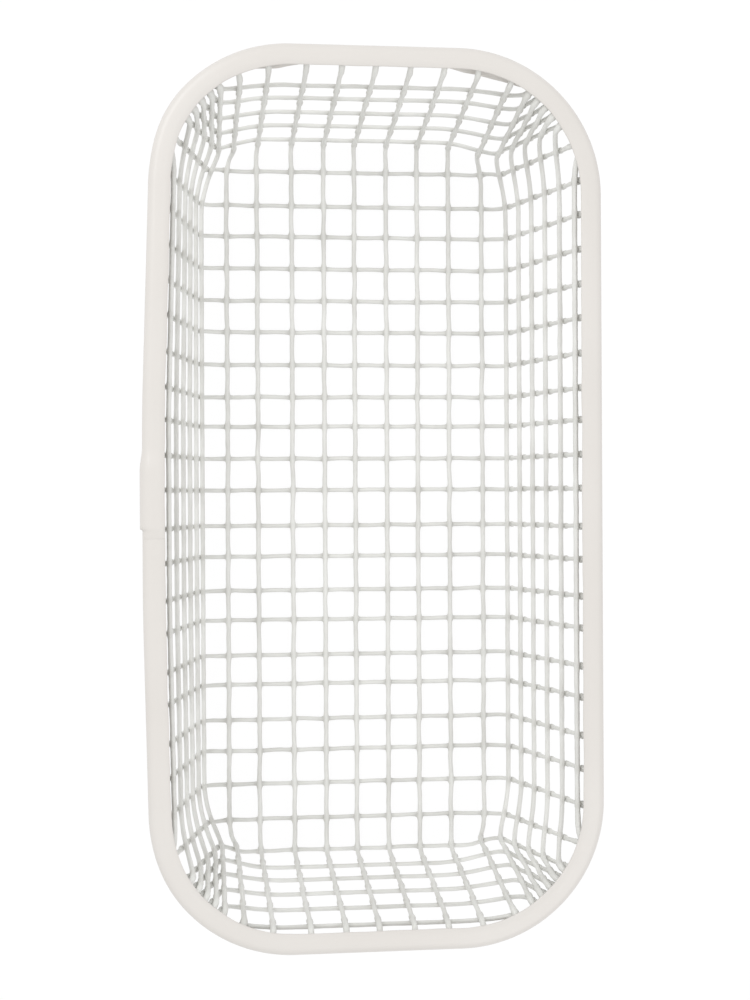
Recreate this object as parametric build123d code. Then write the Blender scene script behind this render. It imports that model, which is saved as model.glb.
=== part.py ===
from build123d import *
import os
from math import acos, atan2, cos, floor, hypot, pi, radians, sin, tan

# Wire locker basket: one sheet of welded square mesh pressed into a shallow tray with leaning
# walls and rounded corners. The sheet's edge is turned outwards and a thin steel strip is folded
# over it as a rim, with its two ends lapped on one long side.
# +Z is up, +Y runs along the basket, and the origin is under the middle of it, on the ground.
# Lengths are in millimetres and angles in degrees.

# Mesh sheet. The long wires run along the basket and lie inside, the cross wires lie outside.
wire_diameter = 1.85
weld_clearance = 0.2
mesh_pitch = 12.7
sheet_shift = 2.3

# The least that a wire lies from the sheet's cut edge, at the sides, the near end and the far end.
side_stub = 5.0
near_stub = 5.0
far_stub = 10.0

# How far each wire sits from its even place, as shares of the pitch: the long wires from the left,
# the cross wires from the far end.
long_drift_shares = (
    0, 0.02, 0.04, 0.02, 0.04, 0.04, 0.04, -0.02, 0.06, 0.06, 0.02,
    0.02, 0, 0, 0.06, 0.08, 0.06, 0.02, -0.02, 0, 0,
)
cross_drift_shares = (
    -0.14, 0, 0, 0.02, 0, 0.02, -0.04, 0, 0, 0, 0.02, 0, 0, 0.08, 0.08, 0.10,
    0, 0.04, -0.02, 0.06, -0.04, 0.06, -0.04, 0, -0.04, -0.14, -0.10, 0.02, 0.08, 0.06, 0, -0.14,
)

# Tray, measured on the middle of the sheet, between its two layers of wires.
bottom_width = 121.0
bottom_length = 281.0
bottom_corner_radius = 30.0
bottom_bend_radius = 5.0
wall_lean = 12.1
flange_height = 68.5
flange_bend_radius = 3.2

# Rim strip, folded flat over the flange.
strip_thickness = 0.8
rim_width = 8.0
rim_overhang = 0.1
hem_clearance = 0.2

# Lap of the strip's two ends, on the left side.
lap_edge_y = -10.4
lap_length = 20.0
lap_clearance = 0.1
joggle_gap = 1.0
joggle_length = 8.0

# The left wall is bowed at the rim: out at the lap and drawn in towards each corner. The bow's
# shares are how far it is drawn in for each length along the wall.
lap_bulge = 0.85
bow_far_start = 20.0
bow_near_start = 30.0
bow_ease = 20.0
far_bow_share = 0.032
near_bow_share = 0.022
bow_fade_start_share = 0.1
bow_fade_end_share = 0.7

# Fineness of the wire lines: the net's steps, and how a line is cut into runs and arcs. The turns
# are in degrees.
net_steps_per_pitch = 12
net_spare_steps = 6
newton_rounds = 12
newton_share = 1e-7
probe_share = 0.002
span_share = 0.02
tangent_share = 0.97
meeting_share = 0.1
largest_turn = 28.0
largest_wander = 1.5
smallest_turn = 0.04

# Places that follow from the sizes above.
core_x = bottom_width / 2 - bottom_corner_radius
core_y = bottom_length / 2 - bottom_corner_radius
climb = radians(90 - wall_lean)
layer_offset = (wire_diameter + weld_clearance) / 2
sheet_height = wire_diameter + weld_clearance / 2

flat_end = bottom_corner_radius - bottom_bend_radius * tan(climb / 2)
bend_end = flat_end + bottom_bend_radius * climb
bend_rise = bottom_bend_radius * (1 - cos(climb))
bend_out = flat_end + bottom_bend_radius * sin(climb)
wall_top = flange_height - flange_bend_radius * (1 - cos(climb))
wall_end = bend_end + (wall_top - bend_rise) / sin(climb)
wall_out = bend_out + (wall_top - bend_rise) / tan(climb)
flange_start = wall_end + flange_bend_radius * climb
flange_out = wall_out + flange_bend_radius * sin(climb)

hem_half = layer_offset + wire_diameter / 2 + hem_clearance
rim_inner = bottom_corner_radius + flange_height / tan(climb) - rim_overhang
rim_outer = rim_inner + rim_width
fold_out = rim_outer - strip_thickness - hem_half
tip_end = flange_start + fold_out - flange_out
net_step = mesh_pitch / net_steps_per_pitch
lap_growth = strip_thickness + lap_clearance


def profile(s):
    """Distance out from the corner's axis, height and slope of the sheet, s along its section."""
    if s <= flat_end:
        return s, 0.0, 0.0
    if s <= bend_end:
        slope = (s - flat_end) / bottom_bend_radius
        rise = bottom_bend_radius * (1 - cos(slope))
        return flat_end + bottom_bend_radius * sin(slope), rise, slope
    if s <= wall_end:
        run = s - bend_end
        return bend_out + run * cos(climb), bend_rise + run * sin(climb), climb
    if s <= flange_start:
        slope = climb - (s - wall_end) / flange_bend_radius
        rise = flange_bend_radius * (cos(slope) - cos(climb))
        return wall_out + flange_bend_radius * (sin(climb) - sin(slope)), wall_top + rise, slope
    return flange_out + s - flange_start, flange_height, 0.0


def corner_place(s, turn):
    """Point of a rounded corner of the sheet, seen from the corner's axis."""
    out, rise, _ = profile(s)
    return out * cos(turn), out * sin(turn), rise


def gap_squared(here, there):
    """Square of the distance between two points."""
    return sum((a - b) ** 2 for a, b in zip(here, there))


def next_node(left, below, behind):
    """Node of the corner net one step from its two neighbours, on the side away from behind."""
    s = left[0] + below[0] - behind[0]
    turn = left[1] + below[1] - behind[1]
    left_place = corner_place(*left)
    below_place = corner_place(*below)
    nudge = net_step * probe_share
    for _ in range(newton_rounds):
        here = corner_place(s, turn)
        along = corner_place(s + nudge, turn)
        around = corner_place(s, turn + nudge / s)
        miss_left = gap_squared(here, left_place) - net_step ** 2
        miss_below = gap_squared(here, below_place) - net_step ** 2
        left_s = (gap_squared(along, left_place) - gap_squared(here, left_place)) / nudge
        left_turn = (gap_squared(around, left_place) - gap_squared(here, left_place)) * s / nudge
        below_s = (gap_squared(along, below_place) - gap_squared(here, below_place)) / nudge
        below_turn = (gap_squared(around, below_place) - gap_squared(here, below_place)) * s / nudge
        scale = left_s * below_turn - left_turn * below_s
        move_s = (left_turn * miss_below - below_turn * miss_left) / scale
        move_turn = (below_s * miss_left - left_s * miss_below) / scale
        s += move_s
        turn += move_turn
        if abs(move_s) + s * abs(move_turn) < newton_share * net_step:
            return s, turn
    return None


def solve_corner_net():
    """Nodes of the square net where it is pressed round a corner, as (s, turn) pairs.

    Every cell keeps its side length and shears instead, as welded mesh does when it is drawn.
    """
    reach = tip_end + net_spare_steps * net_step
    steps = floor(reach / net_step) + net_spare_steps
    net = {}
    for i in range(steps):
        net[i, 0] = (i * net_step, 0.0)
        net[0, i] = (i * net_step, pi / 2)
    for i in range(1, steps):
        for j in range(1, steps):
            flat = hypot(i, j) * net_step
            if flat <= flat_end:
                net[i, j] = (flat, atan2(j, i))
                continue
            around = [net.get((i - 1, j)), net.get((i, j - 1)), net.get((i - 1, j - 1))]
            if None in around or min(around[0][0], around[1][0]) > reach:
                continue
            node = next_node(*around)
            if node:
                net[i, j] = node
    return net


corner_net = solve_corner_net()


def net_value(i, j, item):
    """Value of a net node, carried on past the net's two straight sides."""
    if i < 0:
        return 2 * net_value(0, j, item) - net_value(-i, j, item)
    if j < 0:
        return 2 * net_value(i, 0, item) - net_value(i, -j, item)
    return corner_net[i, j][item]


def smooth_between(values, share):
    """Smooth curve through four evenly spaced values, share of the way along the middle span."""
    a, b, c, d = values
    rate = (c - a) / 2
    bend = a - 2.5 * b + 2 * c - d / 2
    twist = (d - a) / 2 + 1.5 * (b - c)
    return b + share * (rate + share * (bend + share * twist))


def corner_node(a, b):
    """The net's (s, turn) at a across and b along from the corner's axis, or None past its end."""
    flat = hypot(a, b)
    if flat <= flat_end:
        return flat, atan2(b, a)
    i = floor(a / net_step)
    j = floor(b / net_step)
    found = []
    for item in range(2):
        rows = []
        for column in range(i - 1, i + 3):
            if any((abs(column), abs(j + k)) not in corner_net for k in range(-1, 3)):
                return None
            values = [net_value(column, j + k, item) for k in range(-1, 3)]
            rows.append(smooth_between(values, b / net_step - j))
        found.append(smooth_between(rows, a / net_step - i))
    return found


def eased_ramp(distance):
    """Distance past a start, eased in so that the line has no kink there."""
    if distance <= 0:
        return 0.0
    if distance < bow_ease:
        return distance ** 2 / (2 * bow_ease)
    return distance - bow_ease / 2


def bow_fade(y):
    """How much of the bow is left at y, in and past the rounded corners."""
    past = (abs(y) - core_y) / fold_out
    share = (past - bow_fade_start_share) / (bow_fade_end_share - bow_fade_start_share)
    share = min(max(share, 0), 1)
    return 1 - share * share * (3 - 2 * share)


def bowed(point):
    """A point of the tray moved to where the bowed left wall holds it."""
    x, y, z = point
    if x >= -core_x:
        return point
    held_y = min(max(y, -core_y), core_y)
    drawn_in = far_bow_share * eased_ramp(held_y - bow_far_start)
    drawn_in += near_bow_share * eased_ramp(-held_y - bow_near_start)
    out_share = (-x - core_x) / fold_out
    height_share = max(z, 0) / flange_height
    shift = (drawn_in * bow_fade(y) - lap_bulge * bow_fade(y)) * out_share * height_share
    return x + shift, y, z


def sheet_point(across, along, side):
    """Point of a wire at a place on the flat sheet, and how far out on the section it is.

    side is 1 for the long wires, inside, and -1 for the cross wires, outside.
    """
    a = abs(across) - core_x
    b = abs(along) - core_y
    s = max(a, b, 0)
    turn = 0.0 if b <= 0 else pi / 2
    if a > 0 and b > 0:
        node = corner_node(a, b)
        if node is None:
            return None, None
        s, turn = node
    out, rise, slope = profile(s)
    out -= side * layer_offset * sin(slope)
    rise += side * layer_offset * cos(slope)
    x = min(abs(across), core_x) + out * cos(turn) * (a > 0)
    y = min(abs(along), core_y) + out * sin(turn) * (b > 0)
    x = x if across >= 0 else -x
    y = y if along >= 0 else -y
    return bowed((x, y, rise)), s


def wire_line(fixed, lengthwise, side):
    """The line of one wire and the two ends of its run on the sheet."""

    def curve(t):
        return sheet_point(fixed, t, side)[0] if lengthwise else sheet_point(t, fixed, side)[0]

    def inside(t):
        s = sheet_point(fixed, t, side)[1] if lengthwise else sheet_point(t, fixed, side)[1]
        return s is not None and s <= tip_end

    ends = []
    for way in (-1, 1):
        reach = 0.0
        stride = mesh_pitch
        while stride > mesh_pitch * probe_share:
            if inside(way * (reach + stride)):
                reach += stride
            else:
                stride /= 2
        ends.append(way * reach)
    return curve, ends[0], ends[1]


def heading(curve, t, ends):
    """Unit direction of a line at t."""
    probe = mesh_pitch * probe_share
    back = max(t - probe, ends[0])
    ahead = min(t + probe, ends[1])
    return (Vector(*curve(ahead)) - Vector(*curve(back))).normalized()


def turn_between(first, second):
    """Angle between two unit directions, in degrees."""
    return acos(min(max(first.dot(second), -1), 1)) * 180 / pi


def stations(curve, t_from, t_to, ends):
    """Places along a line, close where it bends and far apart where it is straight."""
    first = heading(curve, t_from, ends)
    last = heading(curve, t_to, ends)
    middle = (t_from + t_to) / 2
    centre = heading(curve, middle, ends)
    turn = turn_between(first, last)
    wander = turn_between(first, centre) + turn_between(centre, last) - turn
    bends = turn > largest_turn or wander > largest_wander
    if bends and t_to - t_from > mesh_pitch * span_share:
        return stations(curve, t_from, middle, ends) + stations(curve, middle, t_to, ends)
    return [(t_from, t_to)]


def meeting_point(start, first, end, last):
    """Where the two tangents of a span come nearest, or the span's middle if they don't meet ahead."""
    chord = end - start
    dot = first.dot(last)
    spread = 1 - dot * dot
    from_start = (first.dot(chord) - dot * last.dot(chord)) / spread
    from_end = (last.dot(chord) - dot * first.dot(chord)) / spread
    too_near = min(from_start, from_end) < meeting_share * chord.length
    if too_near or max(from_start, from_end) > chord.length:
        return start + chord / 2
    return (start + first * from_start + end - last * from_end) / 2


def round_path(curve, t_from, t_to, stride):
    """A line as straight runs joined by tangent arcs."""
    ends = (t_from, t_to)
    count = max(1, floor((t_to - t_from) / stride))
    marks = [t_from + (t_to - t_from) * k / count for k in range(count + 1)]
    spans = []
    for begin, finish in zip(marks, marks[1:]):
        spans += stations(curve, begin, finish, ends)
    corners = []
    for begin, finish in spans:
        first = heading(curve, begin, ends)
        last = heading(curve, finish, ends)
        if turn_between(first, last) < smallest_turn:
            continue
        start = Vector(*curve(begin))
        end = Vector(*curve(finish))
        corner = meeting_point(start, first, end, last)
        reach = min((corner - start).length, (end - corner).length) * tangent_share
        corners.append((corner, reach))
    cursor = Vector(*curve(t_from))
    goal = Vector(*curve(t_to))
    edges = []
    for k, (corner, reach) in enumerate(corners):
        before = corners[k - 1][0] if k else cursor
        after = corners[k + 1][0] if k + 1 < len(corners) else goal
        into = (corner - before).normalized()
        away = (after - corner).normalized()
        half_turn = turn_between(into, away) * pi / 360
        arc_start = corner - into * reach
        arc_end = corner + away * reach
        radius = reach / tan(half_turn)
        middle = corner + (away - into).normalized() * radius * (1 / cos(half_turn) - 1)
        if (arc_start - cursor).length > mesh_pitch * newton_share:
            edges.append(Edge.make_line(cursor, arc_start))
        edges.append(Edge.make_three_point_arc(arc_start, middle, arc_end))
        cursor = arc_end
    edges.append(Edge.make_line(cursor, goal))
    return Wire(edges)


def round_wire(path):
    """A wire of round section along a path."""
    section = Face(Wire.make_circle(wire_diameter / 2, Plane(path @ 0, z_dir=path % 0)))
    return Solid(sweep(section, path=path).solids()[0].wrapped)


def wire_places(drift_shares, shift, start_limit, end_limit):
    """Places of the wires from one limit to the other, even but for each one's small drift."""
    way = 1 if end_limit > start_limit else -1
    before = floor(way * (shift - start_limit) / mesh_pitch)
    after = floor(way * (end_limit - shift) / mesh_pitch)
    places = []
    for k in range(before + after + 1):
        drift = drift_shares[k % len(drift_shares)]
        places.append(shift + (way * (k - before) + drift) * mesh_pitch)
    return places


def hem_section(growth, y, mid_x):
    """Section of the folded strip across the left side at y, grown outwards for the lap.

    mid_x is where the middle of the fold lies.
    """
    half = hem_half + growth
    outside = half + strip_thickness

    def place(out, rise):
        return Vector(mid_x - (out - fold_out), y, flange_height + rise)

    def quarter(radius, start, stop):
        middle = (start + stop) / 2
        turns = [radians(angle) for angle in (start, middle, stop)]
        points = [place(fold_out + radius * cos(a), radius * sin(a)) for a in turns]
        return Edge.make_three_point_arc(*points)

    corners = {
        "top": place(rim_inner, outside),
        "under_top": place(rim_inner, half),
        "lip": place(flange_out, -outside),
        "over_lip": place(flange_out, -half),
    }
    outer_fold = [quarter(outside, 90, 0), quarter(outside, 0, -90)]
    inner_fold = [quarter(half, -90, 0), quarter(half, 0, 90)]
    edges = [
        Edge.make_line(corners["top"], place(fold_out, outside)),
        *outer_fold,
        Edge.make_line(place(fold_out, -outside), corners["lip"]),
        Edge.make_line(corners["lip"], corners["over_lip"]),
        Edge.make_line(corners["over_lip"], place(fold_out, -half)),
        *inner_fold,
        Edge.make_line(place(fold_out, half), corners["under_top"]),
        Edge.make_line(corners["under_top"], corners["top"]),
    ]
    return Face(Wire(edges))


def rim_curve(t):
    """Middle of the fold, t along the rim from the left side's middle, by the near end first."""
    quarter = fold_out * pi / 2
    half_round = [quarter, 2 * core_x, quarter]
    stretches = [core_y, *half_round, 2 * core_y, *half_round, core_y]
    way = [(-1, 0), (0, -1), (1, 0), (0, 1), (-1, 0)]
    centres = [(-core_x, -core_y), (core_x, -core_y), (core_x, core_y), (-core_x, core_y)]
    for k, length in enumerate(stretches):
        if t <= length or k == len(stretches) - 1:
            break
        t -= length
    side = k // 2
    out_x, out_y = way[side]
    if k % 2:
        angle = atan2(out_y, out_x) + t / fold_out
        x, y = centres[side]
        return bowed((x + fold_out * cos(angle), y + fold_out * sin(angle), flange_height))
    start = (-core_x, 0.0) if k == 0 else centres[side - 1]
    x = start[0] + out_x * fold_out - out_y * t
    y = start[1] + out_y * fold_out + out_x * t
    return bowed((x, y, flange_height))


def rim_strip():
    """The folded strip, whose flared end covers its start at the lap."""
    lap_x = rim_curve(0.0)[0]
    lap_start = lap_edge_y + lap_length
    joggle_top = lap_start + joggle_gap + joggle_length
    round_trip = 4 * (core_x + core_y) + 2 * pi * fold_out
    before = Wire([Edge.make_line((lap_x, lap_start, flange_height), rim_curve(0.0))])
    around = round_path(rim_curve, 0.0, round_trip - joggle_top, bow_ease)
    path = Wire(before.edges() + around.edges())
    main = sweep(hem_section(0.0, lap_start, lap_x), path=path)
    flare_top = lap_start + joggle_gap
    flared_section = hem_section(lap_growth, flare_top, lap_x)
    joggle = loft([hem_section(0.0, joggle_top, lap_x), flared_section], ruled=True)
    flared_path = Edge.make_line((lap_x, flare_top, flange_height), (lap_x, lap_edge_y, flange_height))
    flared = sweep(flared_section, path=flared_path)
    return main + joggle + flared


def build_basket():
    """Every piece of the basket by name, placed by the middle of the tray's bottom."""
    side_limit = core_x + tip_end - side_stub
    near_limit = core_y + tip_end - near_stub
    far_limit = core_y + tip_end - far_stub
    long_places = wire_places(long_drift_shares, 0.0, -side_limit, side_limit)
    cross_places = wire_places(cross_drift_shares, sheet_shift, far_limit, -near_limit)
    pieces = {"rim_strip": rim_strip()}
    for number, across in enumerate(long_places, 1):
        curve, low, high = wire_line(across, True, 1)
        pieces[f"long_wire_{number:02d}"] = round_wire(round_path(curve, low, high, mesh_pitch))
    for number, along in enumerate(cross_places, 1):
        curve, low, high = wire_line(along, False, -1)
        pieces[f"cross_wire_{number:02d}"] = round_wire(round_path(curve, low, high, mesh_pitch))
    return pieces


os.makedirs("parts", exist_ok=True)
basket = build_basket()
rim_box = basket["rim_strip"].bounding_box()
to_middle = Pos(-rim_box.center().X, -rim_box.center().Y, sheet_height)
for name, piece in basket.items():
    export_step(to_middle * piece, f"parts/{name}.step")
print(f"{len(basket)} pieces, rim {rim_box.size.X:.1f} by {rim_box.size.Y:.1f} mm")
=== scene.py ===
"""Wire locker basket: coated wires and folded rim dressed over the CAD frame, seen as in the photo."""

import logging
from dataclasses import dataclass, field
from enum import Enum
from math import atan2, cos, exp, floor, hypot, pi, radians, sin, tan

import bmesh
import bpy
from mathutils import Matrix, Vector, noise


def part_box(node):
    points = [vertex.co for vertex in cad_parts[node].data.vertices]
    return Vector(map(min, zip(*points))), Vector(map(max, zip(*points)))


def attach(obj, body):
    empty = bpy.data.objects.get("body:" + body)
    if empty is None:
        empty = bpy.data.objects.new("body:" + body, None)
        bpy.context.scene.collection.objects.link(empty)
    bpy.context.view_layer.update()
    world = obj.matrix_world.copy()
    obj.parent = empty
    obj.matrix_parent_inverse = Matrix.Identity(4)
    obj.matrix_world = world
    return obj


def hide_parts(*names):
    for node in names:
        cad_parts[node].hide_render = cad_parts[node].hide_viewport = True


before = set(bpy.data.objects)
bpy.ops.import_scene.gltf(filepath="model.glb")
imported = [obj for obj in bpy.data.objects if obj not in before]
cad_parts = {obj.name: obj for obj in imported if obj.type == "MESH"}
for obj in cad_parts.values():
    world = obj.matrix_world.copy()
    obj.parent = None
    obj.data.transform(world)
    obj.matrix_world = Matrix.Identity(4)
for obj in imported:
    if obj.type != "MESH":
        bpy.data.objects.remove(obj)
LOG = logging.getLogger("wire_basket")
MM = 0.001
# Name of the point attribute that carries the painted shade by the crossings.
PAINTED_CROSSING_SHADE = "painted_crossing_shade"
SEAM_REACH = 1e-7
END_CAP_SIDES = 6


class Layer(Enum):
    """Which layer of the welded sheet a wire lies in, as its side of the sheet's middle."""

    LONG = 1
    CROSS = -1


@dataclass(frozen=True)
class SheetSizes:
    """Sizes of the pressed mesh sheet, in millimetres and degrees."""

    wire_diameter: float = 1.85
    weld_clearance: float = 0.2
    mesh_pitch: float = 12.7
    sheet_shift: float = 2.3
    side_stub: float = 5.0
    near_stub: float = 5.0
    far_stub: float = 10.0
    bottom_width: float = 121.0
    bottom_length: float = 281.0
    corner_radius: float = 30.0
    bend_radius: float = 5.0
    wall_lean: float = 12.1
    flange_height: float = 68.5
    flange_bend_radius: float = 3.2
    strip_thickness: float = 0.8
    rim_width: float = 8.0
    rim_overhang: float = 0.1
    hem_clearance: float = 0.2
    lap_bulge: float = 0.85
    far_bow_start: float = 20.0
    near_bow_start: float = 30.0
    bow_ease: float = 20.0
    far_bow_share: float = 0.032
    near_bow_share: float = 0.022
    bow_fade_start_share: float = 0.1
    bow_fade_end_share: float = 0.7
    net_steps_per_pitch: int = 12
    net_spare_steps: int = 6
    newton_rounds: int = 12
    newton_nudge_share: float = 0.002
    newton_limit_share: float = 1e-4
    long_drift_shares: tuple = (
        0, 0.02, 0.04, 0.02, 0.04, 0.04, 0.04, -0.02, 0.06, 0.06, 0.02,
        0.02, 0, 0, 0.06, 0.08, 0.06, 0.02, -0.02, 0, 0,
    )
    cross_drift_shares: tuple = (
        -0.14, 0, 0, 0.02, 0, 0.02, -0.04, 0, 0, 0, 0.02, 0, 0, 0.08, 0.08, 0.10,
        0, 0.04, -0.02, 0.06, -0.04, 0.06, -0.04, 0, -0.04, -0.14, -0.10, 0.02, 0.08, 0.06, 0, -0.14,
    )


class TraySheet:
    """The middle surface of the mesh sheet, pressed into a tray with rounded corners.

    The square net keeps its side lengths and shears round the corners, as welded mesh does.
    """

    def __init__(self, sizes: SheetSizes) -> None:
        """Works out the section and the corner net.

        Args:
            sizes: The sheet's sizes.
        """
        self.sizes = sizes
        self.core_x = sizes.bottom_width / 2 - sizes.corner_radius
        self.core_y = sizes.bottom_length / 2 - sizes.corner_radius
        self.climb = radians(90 - sizes.wall_lean)
        self.layer_offset = (sizes.wire_diameter + sizes.weld_clearance) / 2
        bend, flange, climb = sizes.bend_radius, sizes.flange_bend_radius, self.climb
        self.flat_end = sizes.corner_radius - bend * tan(climb / 2)
        self.bend_end = self.flat_end + bend * climb
        self.bend_rise = bend * (1 - cos(climb))
        self.bend_out = self.flat_end + bend * sin(climb)
        self.wall_top = sizes.flange_height - flange * (1 - cos(climb))
        self.wall_end = self.bend_end + (self.wall_top - self.bend_rise) / sin(climb)
        self.wall_out = self.bend_out + (self.wall_top - self.bend_rise) / tan(climb)
        self.flange_start = self.wall_end + flange * climb
        self.flange_out = self.wall_out + flange * sin(climb)
        hem_half = self.layer_offset + sizes.wire_diameter / 2 + sizes.hem_clearance
        rim_inner = sizes.corner_radius + sizes.flange_height / tan(climb) - sizes.rim_overhang
        self.fold_out = rim_inner + sizes.rim_width - sizes.strip_thickness - hem_half
        self.tip_end = self.flange_start + self.fold_out - self.flange_out
        self.step = sizes.mesh_pitch / sizes.net_steps_per_pitch
        self.net = self._solve()

    def profile(self, s: float) -> tuple[float, float, float]:
        """Section of the sheet.

        Args:
            s: Distance along the section from the corner's axis.

        Returns:
            Distance out, height and slope there.
        """
        bend, flange, climb = self.sizes.bend_radius, self.sizes.flange_bend_radius, self.climb
        if s <= self.flat_end:
            return s, 0.0, 0.0
        if s <= self.bend_end:
            slope = (s - self.flat_end) / bend
            return self.flat_end + bend * sin(slope), bend * (1 - cos(slope)), slope
        if s <= self.wall_end:
            run = s - self.bend_end
            return self.bend_out + run * cos(climb), self.bend_rise + run * sin(climb), climb
        if s <= self.flange_start:
            slope = climb - (s - self.wall_end) / flange
            out = self.wall_out + flange * (sin(climb) - sin(slope))
            return out, self.wall_top + flange * (cos(slope) - cos(climb)), slope
        return self.flange_out + s - self.flange_start, self.sizes.flange_height, 0.0

    def _place(self, node: tuple[float, float]) -> Vector:
        """Point of a rounded corner.

        Args:
            node: Distance along the section and turn about the corner's axis.

        Returns:
            The point, seen from the corner's axis.
        """
        out, rise, _ = self.profile(node[0])
        return Vector((out * cos(node[1]), out * sin(node[1]), rise))

    def _next(self, left: tuple, below: tuple, behind: tuple) -> tuple[float, float] | None:
        """Node one step from two neighbours, on the side away from the one behind.

        Args:
            left: One neighbour.
            below: The other neighbour.
            behind: The node between them, on the near side.

        Returns:
            The node, or None where the net can't go on.
        """
        s, turn = left[0] + below[0] - behind[0], left[1] + below[1] - behind[1]
        near = (self._place(left), self._place(below))
        nudge = self.step * self.sizes.newton_nudge_share
        for _ in range(self.sizes.newton_rounds):
            places = [self._place(node) for node in ((s, turn), (s + nudge, turn), (s, turn + nudge / s))]
            gaps = [[(place - other).length_squared for place in places] for other in near]
            rate = [[(gap[1] - gap[0]) / nudge, (gap[2] - gap[0]) * s / nudge] for gap in gaps]
            miss = [gap[0] - self.step ** 2 for gap in gaps]
            scale = rate[0][0] * rate[1][1] - rate[0][1] * rate[1][0]
            if not scale:
                return None
            move_s = (rate[0][1] * miss[1] - rate[1][1] * miss[0]) / scale
            move_turn = (rate[1][0] * miss[0] - rate[0][0] * miss[1]) / scale
            s, turn = s + move_s, turn + move_turn
            if abs(move_s) + s * abs(move_turn) < self.sizes.newton_limit_share * self.step:
                return s, turn
        return None

    def _solve(self) -> dict[tuple[int, int], tuple[float, float]]:
        """Solves the net round one corner.

        Returns:
            Distance along the section and turn of each node.
        """
        spare = self.sizes.net_spare_steps
        reach = self.tip_end + spare * self.step
        steps = floor(reach / self.step) + spare
        net = {}
        for i in range(steps):
            net[i, 0] = (i * self.step, 0.0)
            net[0, i] = (i * self.step, pi / 2)
        for i in range(1, steps):
            for j in range(1, steps):
                flat = hypot(i, j) * self.step
                if flat <= self.flat_end:
                    net[i, j] = (flat, atan2(j, i))
                    continue
                around = [net.get((i - 1, j)), net.get((i, j - 1)), net.get((i - 1, j - 1))]
                if None in around or min(around[0][0], around[1][0]) > reach:
                    continue
                node = self._next(*around)
                if node:
                    net[i, j] = node
        return net

    def _corner(self, a: float, b: float) -> tuple[float, float] | None:
        """Place on the corner net.

        Args:
            a: Distance across from the corner's axis.
            b: Distance along from the corner's axis.

        Returns:
            Distance along the section and turn, or None past the net's end.
        """
        flat = hypot(a, b)
        if flat <= self.flat_end:
            return flat, atan2(b, a)
        i, j = floor(a / self.step), floor(b / self.step)
        near = [(i, j), (i + 1, j), (i, j + 1), (i + 1, j + 1)]
        if any(key not in self.net for key in near):
            return None
        p, q = a / self.step - i, b / self.step - j
        weights = ((1 - p) * (1 - q), p * (1 - q), (1 - p) * q, p * q)
        s = sum(self.net[key][0] * weight for key, weight in zip(near, weights))
        return s, sum(self.net[key][1] * weight for key, weight in zip(near, weights))

    def bow(self, x: float, y: float, z: float) -> float:
        """Sideways shift of the bowed left wall.

        Args:
            x: Place across the basket.
            y: Place along the basket.
            z: Height above the bottom.

        Returns:
            The shift along X.
        """
        if x >= -self.core_x:
            return 0.0

        sizes = self.sizes

        def ramp(distance: float) -> float:
            """Distance past a start, eased in."""
            if distance <= 0:
                return 0.0
            if distance < sizes.bow_ease:
                return distance ** 2 / (2 * sizes.bow_ease)
            return distance - sizes.bow_ease / 2

        held = min(max(y, -self.core_y), self.core_y)
        drawn_in = sizes.far_bow_share * ramp(held - sizes.far_bow_start)
        drawn_in += sizes.near_bow_share * ramp(-held - sizes.near_bow_start)
        share = (abs(y) - self.core_y) / self.fold_out - sizes.bow_fade_start_share
        share = min(max(share / (sizes.bow_fade_end_share - sizes.bow_fade_start_share), 0), 1)
        fade = 1 - share * share * (3 - 2 * share)
        out_share = (-x - self.core_x) / self.fold_out
        return (drawn_in - sizes.lap_bulge) * fade * out_share * max(z, 0) / sizes.flange_height

    def point(self, across: float, along: float, side: float) -> tuple[Vector, float] | None:
        """Point off the sheet's middle at a place of the flat mesh.

        Args:
            across: Place across the flat mesh.
            along: Place along the flat mesh.
            side: Distance to the inside of the sheet's middle.

        Returns:
            The point and its distance along the section, or None past the net's end.
        """
        a, b = abs(across) - self.core_x, abs(along) - self.core_y
        s, turn = max(a, b, 0), 0.0 if b <= 0 else pi / 2
        if a > 0 and b > 0:
            node = self._corner(a, b)
            if node is None:
                return None
            s, turn = node
        out, rise, slope = self.profile(s)
        out -= side * sin(slope)
        rise += side * cos(slope)
        x = min(abs(across), self.core_x) + out * cos(turn) * (a > 0)
        y = min(abs(along), self.core_y) + out * sin(turn) * (b > 0)
        x, y = x if across >= 0 else -x, y if along >= 0 else -y
        return Vector((x + self.bow(x, y, rise), y, rise)), s

    def wire_places(self, layer: Layer) -> list[float]:
        """Places of a layer's wires on the flat mesh.

        Args:
            layer: The layer.

        Returns:
            The places, long wires from the left and cross wires from the far end.
        """
        sizes = self.sizes
        if layer is Layer.LONG:
            limit = self.core_x + self.tip_end - sizes.side_stub
            shares, shift, start, end = sizes.long_drift_shares, 0.0, -limit, limit
        else:
            reach = self.core_y + self.tip_end
            shares, shift = sizes.cross_drift_shares, sizes.sheet_shift
            start, end = reach - sizes.far_stub, sizes.near_stub - reach
        way = 1 if end > start else -1
        before = floor(way * (shift - start) / sizes.mesh_pitch)
        after = floor(way * (end - shift) / sizes.mesh_pitch)
        return [
            shift + (way * (k - before) + shares[k % len(shares)]) * sizes.mesh_pitch
            for k in range(before + after + 1)
        ]


@dataclass(frozen=True)
class CoatFinish:
    """A pale coat over steel, with its plain colour and a darker colour, mixed in as random mottle and as
    painted shade by the crossings.
    """

    slot: str
    colour: tuple[float, float, float]
    mottle_and_painted_shade: tuple[float, float, float]
    roughness: float
    grain_scale: float
    bump: float
    cloud_scale_share: float = 0.25
    bump_scale_share: float = 4
    cloud_share: float = 0.9
    cloud_start: float = 0.3
    # How strongly the painted shade by the crossings darkens the colour.
    crossing_shade_share: float = 0.55
    bump_height: float = 0.0004
    gloss: float = 0.15
    gloss_roughness: float = 0.25


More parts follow.
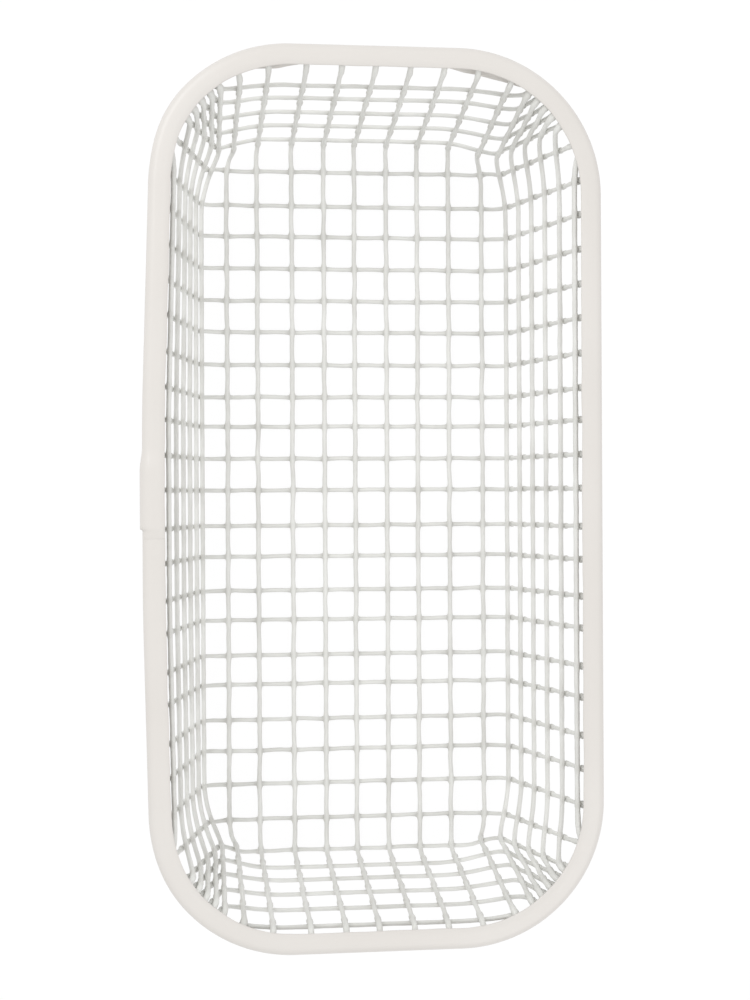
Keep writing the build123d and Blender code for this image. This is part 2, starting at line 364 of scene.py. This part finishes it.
class CoatKind(Enum):
    """The two finishes of the basket."""

    # Second colour of each: random mottle, and on the wires also painted shade by the crossings.
    WIRE = CoatFinish("wire_coat", (0.83, 0.83, 0.80), (0.54, 0.53, 0.495), 0.42, 260.0, 0.10)
    RIM = CoatFinish("rim_coat", (0.755, 0.725, 0.69), (0.70, 0.665, 0.625), 0.38, 90.0, 0.05)


class Socket:
    """An output socket whose sums and products are new maths nodes."""

    def __init__(self, graph: "Graph", output: bpy.types.NodeSocket) -> None:
        """Wraps a socket.

        Args:
            graph: The graph the socket is in.
            output: The output socket.
        """
        self.graph = graph
        self.output = output

    def _math(self, operation: str, *others: "Socket | float") -> "Socket":
        """Adds a maths node.

        Args:
            operation: The node's operation.
            others: Its other inputs, sockets or numbers.

        Returns:
            The node's output.
        """
        node = self.graph.node("ShaderNodeMath", settings={"operation": operation})
        for index, value in enumerate((self, *others)):
            self.graph.feed(node.inputs[index], value)
        return Socket(self.graph, node.outputs[0])

    def __add__(self, other: "Socket | float") -> "Socket":
        """The sum with a socket or number."""
        return self._math("ADD", other)

    def __radd__(self, other: float) -> "Socket":
        """The sum with a number on the left."""
        return self._math("ADD", other)

    def __sub__(self, other: "Socket | float") -> "Socket":
        """The difference from a socket or number."""
        return self._math("SUBTRACT", other)

    def __rsub__(self, other: float) -> "Socket":
        """A number less this value."""
        return (self * -1.0)._math("ADD", other)

    def __mul__(self, other: "Socket | float") -> "Socket":
        """The product with a socket or number."""
        return self._math("MULTIPLY", other)

    def __rmul__(self, other: float) -> "Socket":
        """The product with a number on the left."""
        return self._math("MULTIPLY", other)

    def clamped(self) -> "Socket":
        """Holds the value between 0 and 1.

        Returns:
            The result's socket.
        """
        return self._math("MAXIMUM", 0.0)._math("MINIMUM", 1.0)


class Graph:
    """The node graph of one material."""

    def __init__(self, name: str, tree: bpy.types.NodeTree | None = None) -> None:
        """Makes a material with an empty graph, or empties the graph that is given.

        Args:
            name: The material's name.
            tree: A world's graph to use in place of a material's.
        """
        self.material = None
        if tree is None:
            self.material = bpy.data.materials.new(name)
            self.material.use_nodes = True
        self.tree = tree or self.material.node_tree
        self.tree.nodes.clear()
        if self.material:
            self.output = self.node("ShaderNodeOutputMaterial")

    def node(self, kind: str, inputs: dict | None = None, settings: dict | None = None) -> bpy.types.Node:
        """Adds a node.

        Args:
            kind: Blender's name of the node's type.
            inputs: Values or sockets for its inputs.
            settings: Values for its own properties.

        Returns:
            The node.
        """
        node = self.tree.nodes.new(kind)
        for key, value in (settings or {}).items():
            setattr(node, key, value)
        for key, value in (inputs or {}).items():
            self.feed(node.inputs[key], value)
        return node

    def feed(self, target: bpy.types.NodeSocket, value: "Socket | float | tuple") -> None:
        """Links a socket to an input or sets the input.

        Args:
            target: The input.
            value: A wrapped socket or a constant.
        """
        if isinstance(value, Socket):
            self.tree.links.new(value.output, target)
        else:
            target.default_value = value

    def out(self, node: bpy.types.Node, name: str | int) -> Socket:
        """Wraps a node's output.

        Args:
            node: The node.
            name: The output's name or number.

        Returns:
            The wrapped socket.
        """
        return Socket(self, node.outputs[name])

    def noise(self, scale: float, detail: float = 2.0) -> Socket:
        """Noise over the piece.

        Args:
            scale: How fine it is, per metre.
            detail: Its detail.

        Returns:
            The noise value.
        """
        place = self.out(self.node("ShaderNodeTexCoord"), "Object")
        node = self.node("ShaderNodeTexNoise", {"Vector": place, "Scale": scale, "Detail": detail})
        return self.out(node, "Fac")


def coat_material(finish: CoatFinish) -> bpy.types.Material:
    """The material of a coat.

    Args:
        finish: The coat.

    Returns:
        The material.
    """
    graph = Graph(finish.slot)
    cloud = graph.noise(finish.grain_scale * finish.cloud_scale_share)
    grain = graph.noise(finish.grain_scale * finish.bump_scale_share)
    # Painted shade by the crossings, read from the wires' points, plus random mottle from the cloud noise,
    # sets the mix towards the darker colour.
    painted_crossing_shade = graph.out(graph.node("ShaderNodeAttribute", settings={"attribute_name": PAINTED_CROSSING_SHADE}), "Fac")
    mottle_and_painted_shade = (cloud * finish.cloud_share - finish.cloud_start + painted_crossing_shade * finish.crossing_shade_share).clamped()
    colours = {0: mottle_and_painted_shade, 6: (*finish.colour, 1), 7: (*finish.mottle_and_painted_shade, 1)}
    mix = graph.node("ShaderNodeMix", colours, {"data_type": "RGBA"})
    bump = graph.node("ShaderNodeBump", {
        "Height": grain,
        "Strength": finish.bump,
        "Distance": finish.bump_height,
    })
    surface = graph.node("ShaderNodeBsdfPrincipled", {
        "Base Color": graph.out(mix, 2),
        "Roughness": finish.roughness,
        "Coat Weight": finish.gloss,
        "Coat Roughness": finish.gloss_roughness,
        "Normal": graph.out(bump, "Normal"),
    })
    graph.feed(graph.output.inputs["Surface"], graph.out(surface, "BSDF"))
    return graph.material


@dataclass(frozen=True)
class CoatSizes:
    """How the coat lies on the wires and where painted shade goes by the crossings, in millimetres and
    shares of the wire.
    """

    near_step: float = 0.45
    far_step: float = 1.0
    near_reach: float = 2.3
    sides: int = 12
    long_share: float = 0.96
    cross_share: float = 0.86
    # How fast the coat's swelling at a weld, and the painted shade with it, fade along the wire.
    weld_pool_and_shade_run: float = 0.55
    pool_width: float = 0.34
    pool_rise: float = 0.12
    pool_even_share: float = 0.4
    pool_weld_share: float = 0.6
    # Painted shade by the crossings goes only where a point faces sideways by more than this share.
    crossing_shade_side_start: float = 0.2
    rim_swell_run: float = 1.8
    rim_swell: float = 0.35
    rim_swell_share: float = 0.7
    rim_swell_spread: float = 0.5
    rim_swell_fineness: float = 9.0
    wander: float = 0.32
    wander_run: float = 9.0
    weld_hold: float = 0.7
    swell: float = 0.09
    swell_fineness: float = 3.1
    swell_seed: tuple[float, float, float] = (5.0, 0, 0)
    layer_seed: float = 7.0
    normal_probe: float = 0.5


def grid_of(columns: int, rows: int) -> bmesh.types.BMesh:
    """A flat grid to be bent into a piece.

    Args:
        columns: Points along its first direction.
        rows: Points along its second direction.

    Returns:
        The grid, its points in turn along the first direction, row by row.
    """
    mesh = bmesh.new()
    mesh.loops.layers.uv.new("UVMap")
    bmesh.ops.create_grid(mesh, x_segments=columns - 1, y_segments=rows - 1, size=0.5, calc_uvs=True)
    mesh.verts.ensure_lookup_table()
    return mesh


def closed_piece(name: str, mesh: bmesh.types.BMesh, material: bpy.types.Material) -> bpy.types.Object:
    """Closes a bent grid's seam and ends and makes it an object.

    Args:
        name: The piece's name.
        mesh: The bent grid.
        material: Its material.

    Returns:
        The piece.
    """
    bmesh.ops.remove_doubles(mesh, verts=mesh.verts, dist=SEAM_REACH)
    bmesh.ops.holes_fill(mesh, edges=[edge for edge in mesh.edges if edge.is_boundary], sides=0)
    bmesh.ops.recalc_face_normals(mesh, faces=mesh.faces)
    for face in mesh.faces:
        face.smooth = len(face.verts) < END_CAP_SIDES
    data = bpy.data.meshes.new(name)
    mesh.to_mesh(data)
    mesh.free()
    data.materials.append(material)
    piece = bpy.data.objects.new(name, data)
    bpy.context.scene.collection.objects.link(piece)
    return piece


@dataclass
class CoatedWires:
    """All wires of the mesh, each in place of its CAD wire."""

    sheet: TraySheet
    shift: Vector
    materials: dict[CoatKind, bpy.types.Material]
    coat: CoatSizes = field(default_factory=CoatSizes)

    def _line(self, fixed: float, layer: Layer, crossings: list[float]) -> list[tuple]:
        """Samples one wire, closely where it is welded.

        Args:
            fixed: The wire's place on the flat mesh.
            layer: Its layer.
            crossings: Places of the wires of the other layer.

        Returns:
            Place along the flat mesh, point, sheet normal and distance along the section of each ring.
        """
        offset = layer.value * self.sheet.layer_offset
        rings = []
        for way in (-1, 1):
            run = []
            t = 0.0
            while True:
                across, along = (fixed, t) if layer is Layer.LONG else (t, fixed)
                found = self.sheet.point(across, along, offset)
                inner = self.sheet.point(across, along, offset + self.coat.normal_probe)
                if found is None or inner is None or found[1] > self.sheet.tip_end:
                    break
                run.append((t, found[0], (inner[0] - found[0]).normalized(), found[1]))
                gap = min(abs(t - place) for place in crossings)
                t += way * (self.coat.near_step if gap < self.coat.near_reach else self.coat.far_step)
            rings = run[:0:-1] if way < 0 else rings + run
        return rings

    def _tube(self, name: str, fixed: float, layer: Layer, crossings: list[float]) -> bpy.types.Object:
        """One coated wire.

        Args:
            name: Name of the CAD wire it stands for.
            fixed: The wire's place on the flat mesh.
            layer: Its layer.
            crossings: Places of the wires of the other layer.

        Returns:
            The new piece.
        """
        coat = self.coat
        rings = self._line(fixed, layer, crossings)
        share = coat.long_share if layer is Layer.LONG else coat.cross_share
        radius = self.sheet.sizes.wire_diameter / 2 * share
        columns = coat.sides + 1
        mesh = grid_of(columns, len(rings))
        crossing_shade_layer = mesh.verts.layers.float.new(PAINTED_CROSSING_SHADE)
        for k, (t, centre, normal, s) in enumerate(rings):
            back, ahead = rings[max(k - 1, 0)][1], rings[min(k + 1, len(rings) - 1)][1]
            beside = (ahead - back).normalized().cross(normal).normalized()
            gap = min(abs(t - place) for place in crossings)
            # The coat swells at each weld; the same weight sets the painted shade there.
            weld_pool_and_shade = exp(-max(gap - radius, 0) / coat.weld_pool_and_shade_run)
            at_rim = exp(-max(self.sheet.wall_end - s, 0) / coat.rim_swell_run)
            seed = Vector((t / coat.wander_run, fixed, layer.value * coat.layer_seed))
            sway = noise.noise(seed) * coat.wander * (1 - weld_pool_and_shade * coat.weld_hold)
            swelling = noise.noise(seed * coat.swell_fineness + Vector(coat.swell_seed))
            thick = radius * (1 + coat.swell * swelling)
            middle = centre + beside * sway
            spread = coat.rim_swell_spread * noise.noise(seed * coat.rim_swell_fineness)
            at_rim *= coat.rim_swell * (coat.rim_swell_share + spread)
            wide = thick + coat.pool_width * weld_pool_and_shade + at_rim
            for side in range(columns):
                angle = 2 * pi * (side % coat.sides) / coat.sides
                rise = coat.pool_even_share - layer.value * sin(angle) * coat.pool_weld_share
                tall = thick + coat.pool_rise * weld_pool_and_shade * rise
                vert = mesh.verts[k * columns + side]
                spot = middle + beside * (wide * cos(angle)) + normal * (tall * sin(angle))
                vert.co = (spot + self.shift) * MM
                # Painted shade on the wire's flanks beside each crossing, in the crease between the wires.
                vert[crossing_shade_layer] = weld_pool_and_shade * max(0.0, abs(cos(angle)) - coat.crossing_shade_side_start)
        return closed_piece(name + "_coated", mesh, self.materials[CoatKind.WIRE])

    def build(self) -> None:
        """Makes every wire and puts it in place of its CAD wire."""
        places = {layer: self.sheet.wire_places(layer) for layer in Layer}
        for layer, word in ((Layer.LONG, "long"), (Layer.CROSS, "cross")):
            other = Layer.CROSS if layer is Layer.LONG else Layer.LONG
            for number, fixed in enumerate(places[layer], 1):
                node = f"{word}_wire_{number:02d}"
                piece = self._tube(node, fixed, layer, places[other])
                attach(piece, "root")
                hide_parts(node)
        LOG.info("%d long and %d cross wires", len(places[Layer.LONG]), len(places[Layer.CROSS]))


@dataclass(frozen=True)
class RimSizes:
    """The folded strip and the coat on it, in millimetres.

    Each droop is where the lower leg hangs open at the far end: its start and stop along X, and depth.
    """

    row_step: float = 1.2
    arc_steps: int = 9
    edge_round: float = 0.22
    lap_edge: float = -10.4
    lap_length: float = 20.0
    joggle_gap: float = 1.0
    joggle_length: float = 8.0
    lap_clearance: float = 0.1
    coat_ramp: float = 4.0
    coat_sink: float = 0.15
    coat_sink_side_share: float = 0.2
    coat_ramp_shares: tuple = (0.08, 0.35, 0.7, 1.0)
    edge_wave: float = 0.22
    edge_run: float = 9.0
    flat_wave: float = 0.10
    flat_fineness: float = 0.8
    flat_seed: tuple[float, float, float] = (9.0, 0, 0)
    lip_wave: float = 0.35
    lip_fineness: float = 1.7
    lip_seed: tuple[float, float, float] = (0, 9.0, 0)
    droop_reach: float = 0.55
    droop_fullness: float = 0.7
    droops: tuple = ((-48.0, -24.0, 3.4), (24.0, 58.0, 3.8))


@dataclass
class FoldedRim:
    """The folded strip with its lap, in place of the CAD strip."""

    sheet: TraySheet
    shift: Vector
    material: bpy.types.Material
    rim: RimSizes = field(default_factory=RimSizes)

    def _place(self, t: float) -> tuple[Vector, Vector]:
        """Middle of the fold and the way out from it.

        Args:
            t: Distance round the rim from the left side's middle, by the near end first.

        Returns:
            The point and the unit direction outwards.
        """
        sheet = self.sheet
        quarter = sheet.fold_out * pi / 2
        wide, long = 2 * sheet.core_x, 2 * sheet.core_y
        lengths = (sheet.core_y, quarter, wide, quarter, long, quarter, wide, quarter)
        centres = ((-1, -1), (1, -1), (1, 1), (-1, 1))
        index = 0
        while index < len(lengths) and t > lengths[index]:
            t -= lengths[index]
            index += 1
        side = index // 2
        angle = pi + side * pi / 2 + (t / sheet.fold_out if index % 2 else 0.0)
        out = Vector((cos(angle), sin(angle), 0.0))
        if index == 0:
            base = Vector((-sheet.core_x, -t, 0.0))
        else:
            corner = centres[side % 4 if index % 2 else (side - 1) % 4]
            base = Vector((corner[0] * sheet.core_x, corner[1] * sheet.core_y, 0.0))
            if index % 2 == 0:
                base += Vector((-out.y, out.x, 0.0)) * t
        place = base + out * sheet.fold_out + Vector((0, 0, sheet.sizes.flange_height))
        place.x += sheet.bow(place.x, place.y, place.z)
        return place, out

    def _section(self, growth: float, lift: float) -> list[tuple[float, float, float]]:
        """Points round the folded strip's section.

        Args:
            growth: How far the strip is flared for the lap.
            lift: Share of the growth that the coat's ramp leaves on the top.

        Returns:
            Distance out, rise, and how much each point follows the lower leg, in turn.
        """
        sheet, sizes, rim = self.sheet, self.sheet.sizes, self.rim
        half = sheet.layer_offset + sizes.wire_diameter / 2 + sizes.hem_clearance + growth
        outside = half + sizes.strip_thickness
        inner = sizes.corner_radius + sizes.flange_height / tan(sheet.climb) - sizes.rim_overhang
        inner -= sheet.fold_out
        lip = sheet.flange_out - sheet.fold_out
        steps, edge = rim.arc_steps, rim.edge_round
        turns = [pi / 2 - pi * k / steps for k in range(steps + 1)]
        top = outside - growth * (1 - lift)
        points = [(inner, half + edge, 0.0), (inner, top - edge, 0.0)]
        points += [(inner + edge, top, 0.0), (inner / 2, top, 0.0)]
        for turn in turns:
            radius = outside - growth * (1 - lift) * max(sin(turn), 0) ** 2
            points.append((radius * cos(turn), radius * sin(turn), 0.0))
        points += [(lip / 2, -outside, 0.5), (lip + edge, -outside, 1.0), (lip, edge - outside, 1.0)]
        points += [(lip, -half - edge, 1.0), (lip + edge, -half, 1.0), (lip / 2, -half, 0.5)]
        points += [(half * cos(turn), half * sin(turn), 0.0) for turn in reversed(turns)]
        points += [(inner / 2, half, 0.0), (inner + edge, half, 0.0)]
        return points

    def _droop(self, place: Vector) -> float:
        """How far the lower leg hangs open.

        Args:
            place: The fold's middle.

        Returns:
            The drop, in millimetres.
        """
        if place.y < self.sheet.core_y:
            return 0.0
        drop = 0.0
        for start, stop, depth in self.rim.droops:
            share = (place.x - start) / (stop - start)
            if 0 < share < 1:
                drop = depth * sin(pi * share) ** self.rim.droop_fullness
        return drop

    def build(self) -> None:
        """Makes the strip and puts it in place of the CAD strip."""
        sheet, rim = self.sheet, self.rim
        trip = 4 * (sheet.core_x + sheet.core_y) + 2 * pi * sheet.fold_out
        lap_start = rim.lap_edge + rim.lap_length
        flared = trip - lap_start - rim.joggle_gap
        begin, cut = -lap_start, trip - rim.lap_edge
        count = int((cut - begin) / rim.row_step)
        marks = [begin + (cut - begin) * k / count for k in range(count + 1)]
        marks += [cut + rim.coat_ramp * share for share in rim.coat_ramp_shares]
        full = sheet.sizes.strip_thickness + rim.lap_clearance
        columns = len(self._section(0.0, 1.0)) + 1
        mesh = grid_of(columns, len(marks))
        # The rim gets no painted shade by the crossings: its attribute stays zero.
        mesh.verts.layers.float.new(PAINTED_CROSSING_SHADE)
        for k, t in enumerate(marks):
            share = min(max((t - flared + rim.joggle_length) / rim.joggle_length, 0), 1)
            growth = full * share * share * (3 - 2 * share)
            past = max(t - cut, 0) / rim.coat_ramp
            side_growth = growth if past == 0 else -rim.coat_sink * rim.coat_sink_side_share
            lift = 1.0 if past == 0 else (full * (1 - past) - rim.coat_sink * past) / side_growth
            if t < 0 or t > trip:
                start, out = self._place(0.0)
                place = Vector((start.x, -t if t < 0 else trip - t, start.z))
            else:
                place, out = self._place(t)
            points = self._section(side_growth, lift)
            seed = place / rim.edge_run
            edge_move = noise.noise(seed) * rim.edge_wave
            flat_move = noise.noise(seed * rim.flat_fineness + Vector(rim.flat_seed)) * rim.flat_wave
            lip_move = noise.noise(seed * rim.lip_fineness + Vector(rim.lip_seed)) * rim.lip_wave
            drop = self._droop(place)
            for column in range(columns):
                reach, rise, low = points[column % len(points)]
                inward = max(-reach, 0) / -points[0][0]
                reach += edge_move * inward * (1 - low) + (lip_move - rim.droop_reach * drop) * low
                rise += flat_move * (1 - low) * inward - drop * low
                spot = place + out * reach + Vector((0, 0, rise)) + self.shift
                mesh.verts[k * columns + column].co = spot * MM
        piece = closed_piece("rim_strip_coated", mesh, self.material)
        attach(piece, "root")
        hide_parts("rim_strip")
        LOG.info("rim of %d rows", len(marks))


@dataclass(frozen=True)
class StudioSizes:
    """The camera as fitted to the photo and then lined up with it, and the light.

    The camera is in millimetres and pixels, the floor and the lights in metres and watts.
    """

    camera_place: tuple[float, float, float] = (-85.45, 1.097, 715.173)
    camera_turn: tuple[float, float, float] = (-0.0019, -0.1302, -0.0054)
    focal_pixels: float = 1811.17
    height: int = 1000
    sensor_height: float = 36.0
    clip_start: float = 0.01
    sky: float = 0.86
    white_strength: float = 1.03
    floor_size: float = 3.0
    floor_drop: float = 0.0002
    floor_colour: tuple[float, float, float, float] = (0.78, 0.78, 0.78, 1.0)
    floor_shadow_share: float = 0.08
    light_target: tuple[float, float, float] = (0, 0, 0.03)
    lights: tuple = (
        ("key", (-0.55, 0.65, 0.9), 0.6, 3.2),
        ("fill", (0.5, -0.6, 1.0), 0.8, 1.6),
    )


class Studio:
    """Floor, light and camera."""

    def __init__(self, sizes: StudioSizes, shift: Vector) -> None:
        """Keeps the sizes.

        Args:
            sizes: The studio's sizes.
            shift: Shift from the fitted frame to the CAD frame.
        """
        self.sizes = sizes
        self.shift = shift
        self.scene = bpy.context.scene

    def _floor(self) -> None:
        """A pale floor that the camera sees as plain white from above and not at all from below."""
        mesh = bmesh.new()
        bmesh.ops.create_grid(mesh, x_segments=1, y_segments=1, size=self.sizes.floor_size)
        data = bpy.data.meshes.new("floor")
        mesh.to_mesh(data)
        mesh.free()
        graph = Graph("floor_white")
        light_path = graph.node("ShaderNodeLightPath")
        seen = graph.out(light_path, "Is Camera Ray") + graph.out(light_path, "Is Glossy Ray")
        seen = (seen + graph.out(light_path, "Is Transmission Ray")).clamped()
        matt = graph.node("ShaderNodeBsdfDiffuse", {"Color": self.sizes.floor_colour})
        glow = {"Color": (1, 1, 1, 1), "Strength": self.sizes.white_strength}
        white = graph.node("ShaderNodeEmission", glow)
        factor = seen * (1 - self.sizes.floor_shadow_share)
        mix = graph.node("ShaderNodeMixShader", {0: factor, 1: graph.out(matt, 0), 2: graph.out(white, 0)})
        below = graph.out(graph.node("ShaderNodeNewGeometry"), "Backfacing")
        clear = graph.node("ShaderNodeBsdfTransparent")
        sides = {0: below, 1: graph.out(mix, 0), 2: graph.out(clear, 0)}
        one_sided = graph.node("ShaderNodeMixShader", sides)
        graph.feed(graph.output.inputs["Surface"], graph.out(one_sided, 0))
        data.materials.append(graph.material)
        floor = bpy.data.objects.new("floor", data)
        floor.location.z = -self.sizes.floor_drop
        self.scene.collection.objects.link(floor)

    def _light(self, name: str, place: tuple, size: float, power: float) -> None:
        """A soft area light aimed at the basket.

        Args:
            name: Its name.
            place: Its place, in metres.
            size: Its side, in metres.
            power: Its power, in watts.
        """
        data = bpy.data.lights.new(name, "AREA")
        data.size = size
        data.energy = power
        light = bpy.data.objects.new(name, data)
        light.location = place
        aim = Vector(self.sizes.light_target) - light.location
        light.rotation_euler = aim.to_track_quat("-Z", "Y").to_euler()
        self.scene.collection.objects.link(light)

    def _sky(self) -> None:
        """Even light from all round."""
        world = bpy.data.worlds.new("soft_sky")
        world.use_nodes = True
        graph = Graph("soft_sky_graph", world.node_tree)
        seen = graph.out(graph.node("ShaderNodeLightPath"), "Is Camera Ray")
        light = graph.node("ShaderNodeBackground", {"Color": (1, 1, 1, 1), "Strength": self.sizes.sky})
        glow = {"Color": (1, 1, 1, 1), "Strength": self.sizes.white_strength}
        shown = graph.node("ShaderNodeBackground", glow)
        mix = graph.node("ShaderNodeMixShader", {0: seen, 1: graph.out(light, 0), 2: graph.out(shown, 0)})
        output = graph.node("ShaderNodeOutputWorld")
        graph.feed(output.inputs["Surface"], graph.out(mix, 0))
        self.scene.world = world

    def _camera(self) -> None:
        """The camera of the photo."""
        sizes = self.sizes
        data = bpy.data.cameras.new("photo_camera")
        data.sensor_fit = "VERTICAL"
        data.sensor_height = sizes.sensor_height
        data.lens = sizes.focal_pixels / sizes.height * data.sensor_height
        data.clip_start = sizes.clip_start
        camera = bpy.data.objects.new("photo_camera", data)
        turn = Vector(sizes.camera_turn)
        place = (Vector(sizes.camera_place) + self.shift) * MM
        camera.matrix_world = Matrix.Translation(place) @ Matrix.Rotation(turn.length, 4, turn.normalized())
        self.scene.collection.objects.link(camera)
        self.scene.camera = camera
        self.scene.view_settings.view_transform = "Standard"

    def build(self) -> None:
        """Makes the whole studio."""
        self._floor()
        self._sky()
        for light in self.sizes.lights:
            self._light(*light)
        self._camera()


def main() -> None:
    """Dresses the basket and sets the scene."""
    logging.basicConfig(level=logging.INFO)
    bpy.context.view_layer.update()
    materials = {kind: coat_material(kind.value) for kind in CoatKind}
    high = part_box("rim_strip")[1]
    sizes = SheetSizes()
    sheet = TraySheet(sizes)
    half_width = sheet.core_x + sheet.fold_out + sizes.strip_thickness + sheet.layer_offset
    half_width += sizes.wire_diameter / 2 + sizes.hem_clearance
    shift = Vector((high[0] / MM - half_width, 0.0, sizes.wire_diameter + sizes.weld_clearance / 2))
    CoatedWires(sheet, shift, materials).build()
    FoldedRim(sheet, shift, materials[CoatKind.RIM]).build()
    Studio(StudioSizes(), shift).build()


if __name__ == "__main__":
    main()
